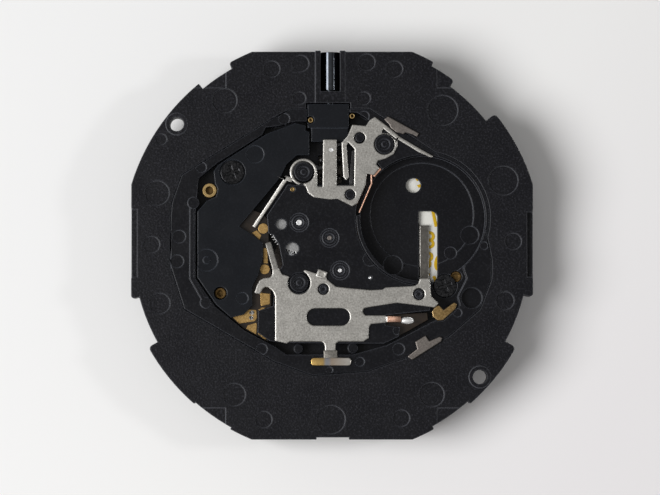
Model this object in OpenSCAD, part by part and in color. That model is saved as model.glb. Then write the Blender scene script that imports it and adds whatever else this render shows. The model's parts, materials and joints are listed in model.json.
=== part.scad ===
// Quartz watch movement with calendar, held in its plastic casing ring.
// Seen from the back: X to the right, Y towards the stem, Z towards the viewer.
// The hands' axis is the origin and the dial rests on the plane Z = 0.

/* [Casing ring] */
// Width across the ring's left and right flats
ring_w = 31.0; // [30.6:0.1:31.4]
// Height across the ring's top and bottom flats
ring_h = 29.94; // [29.8:0.02:30.3]
// Diameter over the ring's round corners
ring_d = 32.4; // [32:0.1:33]
// Thickness of the ring from the dial to its back
ring_t = 2.3; // [2.2:0.05:2.35]
// Thickness of the ring's inner flange, which carries the main plate
flange_t = 0.36; // [0.32:0.02:0.42]
// Radius of the two holes for the dial's feet
dial_foot_r = 0.55; // [0.4:0.05:0.7]
// Width of the collar round each dial foot hole
collar_w = 0.3; // [0.2:0.05:0.4]
// Depth of the round moulding marks
mark_depth = 0.08; // [0.04:0.02:0.14]

/* [Main plate and covers] */
// Thickness of the main plate's deck
deck_t = 0.59; // [0.55:0.02:0.65]
// Free height between the deck and the train bridge
train_room = 1.1; // [1.06:0.02:1.2]
// Thickness of the train bridge
bridge_t = 0.3; // [0.24:0.02:0.4]
// Thickness of the circuit cover
cover_t = 0.3; // [0.24:0.02:0.34]
// How far the circuit cover lies below the train bridge's top
cover_drop = 0.1; // [0.04:0.02:0.12]
// Height of the guide rail on the rim
rail_h = 0.1; // [0.05:0.01:0.2]
// How far the big plastic posts stand above the spring plates
post_over = 0.17; // [0.1:0.01:0.25]

/* [Battery well] */
// Radius of the well, for a 9.5 mm cell
well_r = 4.85; // [4.8:0.01:4.88]
// Thickness of the well's wall
well_wall = 0.3; // [0.2:0.02:0.32]
// Height of the ledge that the cell rests on, above the dial
ledge_z = 0.85; // [0.8:0.01:0.9]
// Radius of the relief in the well's floor
relief_r = 4.0; // [3.6:0.1:4.2]
// Depth of the relief below the ledge
relief_depth = 0.15; // [0.08:0.01:0.18]
// Radius of the inspection hole in the floor
peep_r = 0.57; // [0.4:0.01:0.7]

/* [Spring plates] */
// Thickness of the nickel spring plates
plate_t = 0.18; // [0.12:0.01:0.22]
// Thickness of the copper leaf that presses on the cell's side
leaf_t = 0.1; // [0.08:0.01:0.11]
// Height of the copper leaf
leaf_h = 1.0; // [0.7:0.05:1.1]

/* [Gear train] */
// Thickness of the train's wheel discs
disc_t = 0.08; // [0.06:0.01:0.1]
// Step in height from one wheel disc to the next
level_step = 0.18; // [0.16:0.01:0.19]
// Radius of the train's pivots and arbors
pivot_r = 0.15; // [0.1:0.01:0.15]
// Radius of the rotor's magnet
magnet_r = 0.6; // [0.5:0.02:0.64]
// Height of the rotor's magnet
magnet_h = 0.36; // [0.3:0.02:0.4]

/* [Hands] */
// Radius of the hour pipe
hour_pipe_r = 0.77; // [0.7:0.01:0.8]
// Radius of the minute hand's seat
minute_seat_r = 0.45; // [0.4:0.01:0.5]
// Radius of the seconds hand's pin
seconds_pin_r = 0.1; // [0.08:0.01:0.13]
// Reach of the hour pipe beyond the dial plane
hour_reach = 1.1; // [0.9:0.05:1.3]
// Reach of the minute seat beyond the hour pipe
minute_reach = 0.7; // [0.5:0.05:0.9]
// Reach of the seconds pin beyond the minute seat
seconds_reach = 0.5; // [0.4:0.05:0.7]

/* [Calendar] */
// Outer radius of the date disc
date_r = 9.9; // [9.5:0.05:9.95]
// Thickness of the date disc
date_t = 0.16; // [0.12:0.01:0.16]
// Thickness of the calendar cover
calendar_t = 0.08; // [0.06:0.01:0.09]
// Radius of the calendar cover
calendar_r = 7.35; // [7.2:0.05:7.6]

/* [Stem and keyless works] */
// Height of the stem's axis above the dial
stem_z = 1.3; // [1.28:0.01:1.36]
// Radius of the stem's outer rod
rod_r = 0.71; // [0.6:0.01:0.74]
// Radius of the stem inside the movement
stem_r = 0.45; // [0.42:0.01:0.47]
// Travel of the stem when it is pulled out
stem_travel = 1.0; // [0.8:0.05:1.0]
// Side of the stem's square
square_side = 0.6; // [0.5:0.02:0.62]
// Radius of the tapped hole in the stem's end
tap_r = 0.35; // [0.25:0.01:0.4]
// Depth of the tapped hole in the stem's end
tap_depth = 1.4; // [1:0.05:2]
// Radius of the sliding clutch wheel
clutch_r = 0.8; // [0.7:0.01:0.82]

/* [Electronics] */
// Thickness of the circuit board
board_t = 0.15; // [0.1:0.01:0.2]
// Thickness of the gold contact pads
pad_t = 0.03; // [0.02:0.01:0.05]
// Thickness of the stator
stator_t = 0.25; // [0.2:0.01:0.27]
// Radius of the coil's winding
coil_r = 0.5; // [0.44:0.01:0.53]
// Length of the coil's winding
coil_len = 6.65; // [6.3:0.05:6.65]
// Radius of the quartz crystal's can
crystal_r = 0.55; // [0.45:0.01:0.57]
// Length of the quartz crystal's can
crystal_len = 4.6; // [4:0.1:4.7]
// Side of the integrated circuit
chip_side = 2.1; // [1.6:0.05:2.2]

/* [Fits] */
// Gap between the main plate and the casing ring
ring_gap = 0.03; // [0.03:0.01:0.08]
// Radial clearance of turning pivots and sliding shafts
run_gap = 0.03; // [0.02:0.01:0.04]
// Gap beside fixed pieces that fit into recesses
seat_gap = 0.05; // [0.02:0.01:0.07]

/* [Hidden] */
$fn = 72;

eps = 0.01;
far = 40;

// Heights above the dial
deck_z = flange_t + deck_t;
bridge_z = deck_z + train_room;
rim_z = bridge_z + bridge_t;
plate_z = rim_z + plate_t;
post_z = plate_z + post_over;
cover_top = rim_z - cover_drop;
cover_z = cover_top - cover_t;
board_z = cover_z - board_t - 0.25;
board_top = board_z + board_t;
stator_z = deck_z + 0.02;
core_z = stator_z + stator_t;
core_t = 0.25;
coil_z = core_z + core_t / 2;

// Shoulders that the three hands rest against
hour_hub_r = hour_pipe_r + 0.2;
minute_barrel_r = minute_seat_r + 0.16;
seconds_shaft_r = seconds_pin_r + 0.16;
// The minute pipe is thinner where it passes through the main plate
minute_shaft_r = minute_seat_r + 0.03;

// Heights on the dial side
calendar_z = 0.06;
date_z = calendar_z + calendar_t + 0.03;
finger_z = date_z + 0.01;
finger_t = 0.08;
hour_level = finger_z + finger_t + 0.03;
motion_t = 0.1;
minute_level = hour_level + motion_t + 0.06;
pocket_z = minute_level + motion_t + 0.05;

// Places of the main features, from the hands' axis
ring_centre = [0.2, -0.57];
well_left = 2.36;
well_centre = [well_left + well_r, 1.54];
relief_at = well_centre + [-0.05, 0.32];
peep_at = well_centre + [-0.71, 2.59];
floor_slot_x = [well_centre[0] - 0.29, well_centre[0] + 1.14];
floor_slot_y = [well_centre[1] - 4.89, well_centre[1] + 0.59];
// Shallow round marks in the well's floor: place from the well's centre, radius
floor_marks = [[3.66, -1.26, 0.7], [2.16, -2.65, 0.47], [-2.3, -3.6, 0.75]];
dial_feet = [[-11.8, 8.8], [11.59, -10.72]];
post_1 = [-2.01, 5.07];
post_2 = [4.23, 7.22];
post_3 = [-2.34, -3.47];
big_post_r = 0.72;
small_post_r = 0.34;
lever_pin = [2.33, 7.72];
reset_pin = [1.58, 3.34];
bridge_posts = [[-0.47, -3.96], [6.89, -4.34]];
cover_screw_at = [-7.5, 5.07];
well_screw_at = [8.95, -3.67];
well_screw_z = ledge_z - 0.23;
// Brass bushes: x, y, radius, heights of the foot and of the top
bushes = [[-9.27, 3.69, 0.55, deck_z, 1.85], [-8.42, -4.26, 0.43, deck_z, 1.75],
    [9.8, -2.95, 0.42, 0.44, 0.61], [-1.45, 9.12, 0.2, 1.4, 2.2], [1.76, 9.42, 0.2, deck_z, 2.3],
    [-2.85, 3.75, 0.17, bridge_z + 0.05, rim_z - 0.02]];
bush_gap = 0.02;
guide_at = [3.13, -3.07];

// The train's centres, and the teeth and modules that fit between them
centre_at = [0, 0];
fifth_at = [-2.34, 1.19];
third_at = [0.81, -2.51];
rotor_dir = -104.5;
rotor_n = 8;
fifth_n = 64;
fifth_pinion_n = 16;
fourth_n = 60;
fourth_pinion_n = 10;
third_n = 60;
third_pinion_n = 8;
centre_n = 80;
fifth_m = 0.0731;
rotor_at = fifth_at + (rotor_n + fifth_n) / 2 * fifth_m * [cos(rotor_dir), sin(rotor_dir)];
fourth_m = 2 * norm(fifth_at) / (fifth_pinion_n + fourth_n);
third_m = 2 * norm(third_at) / (fourth_pinion_n + third_n);
centre_m = 2 * norm(third_at) / (third_pinion_n + centre_n);
first_level = deck_z + 0.33;
centre_level = first_level;
fourth_level = first_level + level_step;
third_level = first_level + 2 * level_step;
fifth_level = first_level + 3 * level_step;
pinion_over = 0.02;

// The motion work, on the dial side
cannon_n = 12;
minute_n = 36;
minute_m = 0.1;
minute_pinion_n = 10;
hour_n = 40;
setting_n = 18;
minute_dist = (cannon_n + minute_n) / 2 * minute_m;
hour_m = 2 * minute_dist / (minute_pinion_n + hour_n);
setting_dist = (minute_n + setting_n) / 2 * minute_m;
setting_at = [0, 3.3];
minute_y = (minute_dist * minute_dist - setting_dist * setting_dist
    + setting_at[1] * setting_at[1]) / 2 / setting_at[1];
minute_at = [-sqrt(minute_dist * minute_dist - minute_y * minute_y), minute_y];

// The calendar's drive
step_n = 30;
step_pinion_n = 12;
drive_n = 32;
drive_m = 0.09;
step_dir = 215;
step_at = (hour_n + step_n) / 2 * hour_m * [cos(step_dir), sin(step_dir)];
drive_dist = (step_pinion_n + drive_n) / 2 * drive_m;
drive_dir = 268;
drive_at = step_at + drive_dist * [cos(drive_dir), sin(drive_dir)];
date_teeth = 31;
date_tip_r = 6.6;
date_root_r = 7.05;
finger_reach = 0.25;
finger_len = date_tip_r + finger_reach - norm(drive_at);
date_screws = [[-4.9, 1.7], [3.3, -3.3], [3.4, 3.9]];
jumper_root = [1.7, -4.75];
jumper_dir = -50;

// The stem, its block and its channel in the ring
stem_x = 0.06;
stem_end = ring_centre[1] + ring_h / 2;
channel_wall = 0.42;
channel_half = rod_r + run_gap;
block_from = 10.43;
rod_from = block_from + 1.02;
channel_from = rod_from - 0.09;
stem_block_x = [-1.7, 1.5];
stem_block_y = [8.5, block_from - 0.08];
stem_block_z = 0.7;
stem_block_top = rim_z - 0.05;
square_from = 4.15;
square_to = 6.9;
pilot_r = 0.25;
pilot_from = 2.95;
pilot_boss_y = [2.75, 4.1];
groove_r = 0.22;
groove_w = 0.34;
lever_tip_r = 0.12;
lever_len = lever_pin[0] - stem_x - groove_r - lever_tip_r - 0.02;
groove_y = lever_pin[1] - stem_travel / 2;
lever_angle = asin(stem_travel / 2 / lever_len);
clutch_y = [4.75, 6.15];
clutch_groove_y = [4.98, 5.68];
clutch_groove_r = 0.42;
lever_z = 1.2;
lever_t = 0.2;

// Teeth of a wheel as one outline: four points a tooth, one tooth at the angle phase
module gear_outline(n, m, phase) {
    tip = n * m / 2 + 0.95 * m;
    root = n * m / 2 - 1.15 * m;
    pitch = 360 / n;
    polygon([for (i = [0:n - 1], c = [[root, -0.32], [tip, -0.11], [tip, 0.11], [root, 0.32]])
        c[0] * [cos(phase + (i + c[1]) * pitch), sin(phase + (i + c[1]) * pitch)]]);
}

// Radius that clears a wheel's teeth
function tip_radius(n, m) = (n / 2 + 0.95) * m;

// Angle of the line from one centre to another
function aim(a, b) = atan2(b[1] - a[1], b[0] - a[0]);

// Phase that puts a wheel of n teeth in mesh with one of n_at teeth and phase phase_at
function meshed(dir, phase_at, n_at, n) = dir + 180 + ((dir - phase_at) * n_at / 360 - 0.5) * 360 / n;

// Corners of an outline moved outwards by g, for corners listed anticlockwise
function grown(p, g) = [for (i = [0:len(p) - 1])
    let (a = p[(i + len(p) - 1) % len(p)], b = p[i], c = p[(i + 1) % len(p)],
        u = (b - a) / norm(b - a), v = (c - b) / norm(c - b),
        n1 = [u[1], -u[0]], n2 = [v[1], -v[0]])
    b + g * (n1 + n2) / (1 + n1 * n2)];

module at(p, z = 0) {
    translate([p[0], p[1], z]) children();
}

module slab(z0, z1) {
    translate([0, 0, z0]) linear_extrude(z1 - z0) children();
}

// A round hole or pin along Z
module rod_z(p, r, z0, z1) {
    translate([p[0], p[1], z0]) cylinder(r = r, h = z1 - z0);
}

// A round bar along Y on the stem's axis
module rod_y(r, y0, y1) {
    translate([stem_x, y0, stem_z]) rotate([-90, 0, 0]) cylinder(r = r, h = y1 - y0);
}

module block(x, y, z) {
    translate([x[0], y[0], z[0]]) cube([x[1] - x[0], y[1] - y[0], z[1] - z[0]]);
}

// A straight strip between two points, with a round end of the same width
module strip(a, b, w) {
    l = norm(b - a);
    translate(a) rotate(aim(a, b)) translate([0, -w / 2]) square([l, w]);
    translate(b) circle(d = w);
}

// A flat bar that runs from a at height za down to b at height zb
module sloped_bar(a, b, za, zb, w, t) {
    l = norm(b - a);
    translate([a[0], a[1], za]) rotate([0, atan2(za - zb, l), aim(a, b)])
        translate([0, -w / 2, 0]) cube([norm([l, za - zb]), w, t]);
}

// A slot with round ends along X
module slot_x(x0, x1, y, w) {
    translate([x0 + w / 2, y - w / 2]) square([x1 - x0 - w, w]);
    for (x = [x0 + w / 2, x1 - w / 2]) translate([x, y]) circle(d = w);
}

// Outline of everything that drops into the casing ring
movement_points = [[-3.0, 9.97], [-4.58, 9.12], [-11.4, 4.86], [-12.15, 2.73], [-12.25, 1.66],
    [-12.25, -2.17], [-11.19, -5.48], [-4.26, -9.52], [-1.28, -10.59], [2.98, -10.27],
    [5.97, -9.21], [9.16, -7.61], [11.61, -5.48], [12.46, -3.24], [12.51, -1.75], [11.9, 1.2],
    [8.3, 6.5], [3.05, 9.97]];
// Inside edge of the rim above the deck
pad_edge = [[9.6, -5.7], [10.05, -5.2], [9.9, -4.5], [10.2, -3.9], [10.6, -3.1], [10.35, -2.4],
    [10.45, -1.95], [10.9, -1.6], [11.0, -1.3]];
cavity_points = concat([[-1.75, 9.0], [-2.6, 9.0], [-3.9, 8.65], [-4.9, 8.55], [-5.2, 7.97],
    [-8.7, 5.75], [-10.1, 4.6], [-10.33, 2.1], [-10.33, -3.1], [-8.8, -5.3], [-6.6, -7.1],
    [-4.2, -8.4], [-3.3, -9.0], [1.8, -9.0], [4.4, -8.3], [7.9, -6.5]], pad_edge,
    [[7.2, 1.5], [4.0, 5.4], [3.2, 6.3], [3.2, 9.0], [2.1, 9.7], [1.55, 9.7], [1.55, 10.4],
    [-1.75, 10.4]]);
// Where the well's wall is open: beside the bridge screw, and at the copper leaf
well_mouth_points = concat([[7.2, 1.5], [8.05, -3.9], [8.05, -5.2]], pad_edge);
leaf_mouth_points = [[5.0, 2.6], [3.5, 5.2], [2.95, 5.4], [2.0, 4.4], [2.0, 1.7]];

// Slots for the legs of the hooks, which join the main plate to the ring
module hook_slots() {
    for (h = hook_legs) at(h) rotate([0, 0, h[2]])
        translate([-0.3, -0.11, rim_z - 0.8]) cube([0.6, 0.22, far]);
}

module movement_outline(g) {
    polygon(grown(movement_points, g));
    translate(well_centre) circle(r = well_r + well_wall + g);
    translate([stem_block_x[0] - seat_gap - g, 9])
        square([stem_block_x[1] - stem_block_x[0] + 2 * (seat_gap + g), stem_block_y[1] - 9 + g]);
}

// Casing ring
// Shallow insets of the ring's edge: from and to angle, radius
ring_insets = [[39, 53.5, 15.3], [53.5, 61, 15.85], [119.5, 129.5, 15.7], [195, 209, 15.4],
    [229, 241, 16.05], [299, 311, 15.95], [331, 345.5, 15.27]];
// Moulding marks on the ring's back: x, y, radius
ring_marks = [[-4.48, 13.06, 0.64], [-2.24, 13.49, 0.64], [-8.1, 10.61, 0.95],
    [-13.32, 3.47, 0.95], [-13.74, -0.51, 0.64], [-13.1, -5.05, 0.8], [-7.35, -12.08, 0.87],
    [-5.07, -14.0, 0.64], [0.11, -14.0, 1.1], [5.54, -13.89, 0.64], [7.88, -12.08, 0.95],
    [13.53, -4.84, 0.7], [14.17, -0.26, 0.64], [13.42, 4.43, 1.13], [8.74, 9.86, 1.17],
    [5.01, 13.06, 0.64], [2.88, 13.59, 0.64], [2.66, 10.8, 0.5], [-2.34, 10.8, 0.5],
    [-13.0, 7.63, 0.43]];
ring_step = 0.06;

module inset_sector(a0, a1, r) {
    difference() {
        polygon([[0, 0], far * [cos(a0), sin(a0)], far * [cos(a1), sin(a1)]]);
        circle(r = r);
    }
}

module ring_outline() {
    translate(ring_centre) difference() {
        intersection() {
            circle(d = ring_d);
            square([ring_w, ring_h], center = true);
        }
        for (c = ring_insets) inset_sector(c[0], c[1], c[2]);
    }
}

module casing_ring() color([0.15, 0.15, 0.16]) {
    wall_x = [stem_x - channel_half - channel_wall, stem_x + channel_half + channel_wall];
    difference() {
        union() {
            slab(0, ring_t - ring_step) ring_outline();
            slab(ring_t - ring_step - eps, ring_t) difference() {
                ring_outline();
                for (x = [-8 - far, 8.3], y = [-13.1 - far, 11.6])
                    translate([x, y]) square(far);
            }
            for (p = dial_feet) rod_z(p, dial_foot_r + collar_w, ring_t - 0.3, ring_t + 0.05);
            block(wall_x, [block_from, stem_end + 0.08], [0.3, ring_t + 0.06]);
        }
        slab(flange_t, far) movement_outline(ring_gap);
        rod_z([0, 0], date_r + 2 * run_gap, -1, far);
        slab(flange_t, far) translate([stem_block_x[0] - 0.1, 9])
            square([stem_block_x[1] - stem_block_x[0] + 0.2, block_from - 9]);
        for (p = dial_feet) rod_z(p, dial_foot_r, -1, far);
        for (m = ring_marks) rod_z(m, m[2], ring_t - ring_step - mark_depth, far);
        block([stem_x - channel_half, stem_x + channel_half], [channel_from, far],
            [stem_z - rod_r - 0.1, far]);
        rod_y(stem_r + run_gap, 8, far);
        block([-far, ring_centre[0] - ring_w / 2 + 0.45], [-3.0, 2.2], [ring_t - 0.4, far]);
        block([ring_centre[0] + ring_w / 2 - 0.45, far], [-3.0, 2.0], [ring_t - 0.4, far]);
        block([-1.0, 1.5], [-far, ring_centre[1] - ring_h / 2 + 0.17], [-1, far]);
        hook_slots();
    }
}

// Main plate: deck, rim, battery well, posts and the seats of everything else
rim_marks = [[-5.22, -8.57, 0.42], [5.33, -8.57, 0.45], [2.34, -9.55, 0.35], [0, -10.2, 0.25],
    [11.93, -0.6, 0.3], [9.87, -5.77, 0.33], [-11.6, 0.1, 0.5], [-11.75, -1.8, 0.5],
    [-9.9, 5.45, 0.4], [-3.5, 9.2, 0.42], [2.66, 9.4, 0.4]];

module big_post(p) {
    difference() {
        rod_z(p, big_post_r, deck_z - eps, post_z);
        rod_z(p, 0.42, post_z - 0.12, far);
    }
    rod_z(p, 0.2, post_z - 0.14, post_z - 0.04);
}

module well_floor_slot(x, y, r) {
    translate([x[0], y[0]]) square([x[1] - x[0], y[1] - y[0] - r]);
    translate([x[0], y[0]]) square([x[1] - x[0] - r, y[1] - y[0]]);
    translate([x[1] - r, y[1] - r]) circle(r = r);
}

module main_plate() color([0.17, 0.17, 0.19]) {
    difference() {
        union() {
            difference() {
                union() {
                    slab(flange_t, rim_z) polygon(movement_points);
                    slab(flange_t, ring_t) movement_outline(0);
                }
                slab(deck_z, far) difference() {
                    polygon(cavity_points);
                    translate(well_centre) circle(r = well_r + well_wall);
                }
                slab(deck_z, far) polygon(well_mouth_points);
                slab(deck_z, far) polygon(leaf_mouth_points);
                at(well_centre) rod_z([0, 0], well_r, ledge_z, far);
                rod_z(relief_at, relief_r, ledge_z - relief_depth, far);
            }
            rod_z(cover_screw_at, 0.75, deck_z - eps, cover_z);
            rod_z([-5.75, 6.46], 0.5, deck_z - eps, cover_z);
            rod_z([-6.2, -3.6], 0.4, deck_z - eps, board_z);
            rod_z([-7.0, 1.6], 0.4, deck_z - eps, board_z);
            rod_z([-5.3, 0.5], 0.35, deck_z - eps, board_z);
            rod_z([-2.4, -8.55], 0.35, deck_z - eps, bridge_z - 0.05);
            rod_z([1.8, -8.5], 0.4, deck_z - eps, bridge_z - 0.05);
            big_post(post_1);
            big_post(post_2);
            big_post(post_3);
            rod_z(lever_pin, small_post_r, deck_z - eps, post_z - 0.05);
            block([stem_x - 0.45, stem_x + 0.45], pilot_boss_y, [deck_z - eps, stem_z + 0.4]);
            slab(rim_z - eps, rim_z + rail_h) {
                strip([-10.62, 2.3], [-10.62, -3.1], 0.32);
                strip([-10.62, -3.1], [-9.7, -4.75], 0.32);
                translate([-10.5, 2.7]) circle(r = 0.45);
                translate([-9.55, -5.0]) circle(r = 0.42);
            }
            for (p = date_screws) rod_z(p, 0.7, calendar_z + calendar_t, flange_t + eps);
        }
        // through openings of the well's floor
        at(well_centre) rod_z([0, 0], well_r, ledge_z, far);
        rod_z(peep_at, peep_r, -1, far);
        slab(-1, far) well_floor_slot(floor_slot_x, floor_slot_y, 0.5);
        for (m = floor_marks)
            at(well_centre) rod_z(m, m[2], ledge_z - relief_depth - 0.03, far);
        // room for the train's wheels beside the well's wall
        rod_z(centre_at, tip_radius(centre_n, centre_m) + 0.1, deck_z, bridge_z);
        rod_z(third_at, tip_radius(third_n, third_m) + 0.1, deck_z, bridge_z);
        // pivot holes
        for (p = [fifth_at, third_at, rotor_at])
            rod_z(p, pivot_r + run_gap, deck_z - 0.15, deck_z + 0.05);
        rod_z(centre_at, minute_shaft_r + run_gap, -1, far);
        // dial side pockets for the motion work and the calendar's drive
        rod_z(centre_at, tip_radius(hour_n, hour_m) + 0.12, -1, pocket_z);
        rod_z(minute_at, tip_radius(minute_n, minute_m) + 0.12, -1, pocket_z);
        rod_z(setting_at, tip_radius(setting_n, minute_m) + 0.12, -1, pocket_z);
        rod_z(step_at, tip_radius(step_n, hour_m) + 0.12, -1, pocket_z);
        rod_z(drive_at, tip_radius(drive_n, drive_m) + 0.12, -1, pocket_z);
        for (p = [minute_at, setting_at, step_at, drive_at])
            rod_z(p, pivot_r + run_gap, pocket_z - eps, pocket_z + 0.15);
        rod_z(jumper_root, 0.3, -1, flange_t + 0.3);
        for (p = date_screws) rod_z(p, 0.21, -1, flange_t + 0.24);
        // stem, clutch and their block
        block([stem_x - stem_r - 0.05, stem_x + stem_r + 0.05], [square_from, 9], [stem_z - 0.5, far]);
        block([stem_x - 0.9, stem_x + 0.9], [4.3, 6.45], [0, far]);
        block([stem_block_x[0] - seat_gap, stem_block_x[1] + seat_gap],
            [stem_block_y[0] - seat_gap, far], [stem_block_z, far]);
        rod_y(pilot_r + run_gap, pilot_boss_y[0] - 1, pilot_boss_y[1] + 1);
        // deep seats in the deck
        block([-3.75, 3.35], [-7.15, -5.95], [coil_z - coil_r - 0.04, far]);
        block([-9.8, -8.5], [-2.9, 2.55], [stem_z - 0.55, cover_z]);
        // screws and bushes
        for (b = bushes) rod_z(b, b[2] + bush_gap, b[3], far);
        rod_z(cover_screw_at, 0.41, deck_z - 0.1, far);
        rod_z(well_screw_at, 0.41, flange_t + 0.04, far);
        rod_z(well_screw_at, 0.92, well_screw_z, far);
        slab(rim_z - leaf_t, far) polygon(grown(leaf_tab_points, seat_gap));
        for (m = rim_marks) rod_z(m, m[2], rim_z - mark_depth, far);
        rod_z([10.97, -4.63], 0.8, rim_z - 0.5, far);
        slab(rim_z - plate_t, far) polygon(grown(earth_points, seat_gap));
        hook_slots();
    }
}

// Train bridge
bridge_points = [[-3.25, 4.1], [-4.5, 1.6], [-4.25, 0.3], [-3.6, -2.1], [-4.2, -3.0],
    [-4.35, -5.25], [-5.5, -5.6], [-5.55, -7.3], [-4.6, -7.95], [-3.4, -8.1], [3.2, -8.15],
    [4.2, -8.15], [5.35, -7.6], [5.45, -6.85], [4.3, -6.75], [4.3, -5.97], [7.75, -5.6],
    [7.85, -3.2], [6.0, 0], [2.15, 1.9], [2.15, 4.1]];
bridge_feet = [[3.3, -4.3, 0.4], [-3.1, 3.9, 0.3], [7.4, -4.7, 0.35], [-5.0, -6.6, 0.4]];

// A pivot's seat in the bridge's back: stepped rings round the hole
module pivot_seat(p, deep) {
    rod_z(p, 0.34, rim_z - 0.06, far);
    difference() {
        rod_z(p, 0.72, rim_z - deep, far);
        rod_z(p, 0.56, -1, far);
    }
}

module train_bridge() color([0.18, 0.18, 0.2]) {
    difference() {
        union() {
            slab(bridge_z, rim_z) difference() {
                polygon(bridge_points);
                translate(well_centre) circle(r = well_r + well_wall + seat_gap);
                translate(post_3) circle(r = big_post_r + seat_gap);
            }
            for (f = bridge_feet) rod_z(f, f[2], deck_z, bridge_z + eps);
            for (p = bridge_posts) rod_z(p, small_post_r, rim_z - eps, post_z - 0.05);
            rod_z(reset_pin, small_post_r, rim_z - eps, post_z - 0.05);
            rod_z(reset_pin, 0.3, deck_z, bridge_z + eps);
        }
        for (p = [fifth_at, centre_at, third_at]) {
            rod_z(p, pivot_r + run_gap, -1, far);
            pivot_seat(p, 0.04);
        }
        rod_z(rotor_at, pivot_r + run_gap, -1, bridge_z + 0.15);
        rod_z(guide_at, 0.13, bridge_z + 0.05, far);
        rod_z([-2.88, -0.85], 0.5, -1, far);
        rod_z([-3.73, 1.06], 0.4, -1, far);
        rod_z([3.13, -1.64], 0.53, rim_z - 0.06, far);
        rod_z([5.2, -7.15], 0.3, rim_z - 0.06, far);
        for (p = bridge_posts) rod_z(p, 0.18, post_z - 0.12, far);
        rod_z(bushes[5], bushes[5][2] + bush_gap, bridge_z + 0.05, far);
    }
}

// Circuit cover
cover_points = [[-1.85, 8.7], [-2.65, 8.88], [-4.85, 8.05], [-8.6, 5.65], [-8.95, 5.15],
    [-8.75, 3.2], [-9.5, 2.85], [-10.2, 2.05], [-10.2, -3.05], [-8.75, -5.15], [-7.6, -6.15],
    [-6.6, -5.9], [-5.95, -5.2], [-5.95, -3.7], [-5.5, -2.9], [-5.15, -1.6], [-5.15, -0.35],
    [-6.05, 0.3], [-6.95, 0.9], [-3.75, 4.75], [-3.3, 5.7], [-2.5, 6.4], [-1.55, 6.4],
    [-1.55, 8.2], [-1.85, 8.3]];

module circuit_cover() color([0.19, 0.2, 0.22]) {
    difference() {
        slab(cover_z, cover_top) polygon(cover_points);
        rod_z(cover_screw_at, 0.42, -1, far);
        rod_z(cover_screw_at, 0.98, cover_top - 0.15, far);
        for (i = [0, 1]) rod_z(bushes[i], bushes[i][2] + 0.07, -1, far);
        difference() {
            rod_z([-9.48, -1.71], 0.85, cover_top - 0.1, far);
            rod_z([-9.48, -1.71], 0.28, -1, far);
        }
        rod_z([-5.75, 6.46], 0.68, cover_top - 0.08, far);
        rod_z([-6.72, -4.65], 0.45, cover_top - 0.06, far);
    }
}

module stem_block() color([0.17, 0.17, 0.19]) {
    difference() {
        union() {
            block(stem_block_x, stem_block_y, [stem_block_z, stem_block_top]);
            block([-1.42, 1.45], [stem_block_y[0] - 1.05, stem_block_y[0] + eps],
                [stem_z + stem_r + 0.12, stem_z + stem_r + 0.32]);
        }
        rod_y(stem_r + run_gap, 7, far);
        rod_z([bushes[3][0] - 0.05, bushes[3][1]], 0.3, bushes[3][3], far);
    }
}

// Nickel spring plates
upper_points = [[-0.5, 7.6], [0.57, 7.6], [0.57, 4.05], [1.88, 4.05], [1.93, 6.85], [1.45, 7.35],
    [1.32, 7.1], [1.5, 4.7], [1.3, 4.42], [1.06, 4.7], [0.92, 7.35], [1.4, 7.9], [1.75, 8.75],
    [2.8, 8.65], [3.1, 9.1], [3.5, 9.35], [4.4, 8.68], [5.4, 7.83], [7.1, 6.82], [8.02, 6.3],
    [7.88, 6.17], [6.92, 6.58], [5.24, 7.6], [5.28, 7.1], [4.95, 6.45], [4.3, 6.1], [3.75, 5.95],
    [3.6, 5.7], [3.87, 5.4], [3.42, 4.82], [2.9, 4.95], [2.8, 4.1], [2.15, 2.65], [1.75, 2.42],
    [0.6, 3.0], [0, 2.95], [-1.2, 3.12], [-1.65, 3.45], [-1.95, 4.2], [-0.93, 5.0],
    [-0.93, 3.97], [-0.55, 3.97]];

module upper_spring_plate() color([0.75, 0.73, 0.69]) {
    slab(rim_z, plate_z) difference() {
        union() {
            polygon(upper_points);
            difference() {
                translate(post_1) circle(r = 1.06);
                polygon([post_1, post_1 + [-0.75, -2.5], post_1 + [0.05, -2.5]]);
            }
            strip([-2.85, 4.45], [-3.35, 4.62], 0.36);
        }
        translate(post_1) circle(r = big_post_r + 0.12);
        translate(post_2) circle(r = big_post_r + 0.05);
        translate(lever_pin) circle(r = small_post_r + 0.08);
        translate(reset_pin) circle(r = small_post_r + 0.05);
        polygon([[4.02, 8.1], [4.15, 8.42], [5.15, 7.6], [5.05, 7.55], [4.5, 8.05]]);
    }
    sloped_bar([-3.25, 4.7], [-5.85, 0.85], rim_z, board_top + pad_t + 0.05, 0.3, plate_t);
}

// The copper leaf stands in the well's wall, and its tab is let into the rim
leaf_tab_points = [[3.48, 4.7], [4.02, 5.3], [3.86, 5.45], [3.2, 4.95]];

module side_contact() color([0.72, 0.45, 0.3]) {
    bends = [[3.28, 4.95], [3.3, 4.2], [2.34, 1.93]];
    slab(rim_z - leaf_t, rim_z) polygon(leaf_tab_points);
    slab(rim_z - leaf_h, rim_z) for (i = [0, 1])
        translate(bends[i]) rotate(aim(bends[i], bends[i + 1])) translate([0, -leaf_t])
            square([norm(bends[i + 1] - bends[i]), leaf_t]);
}

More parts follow.
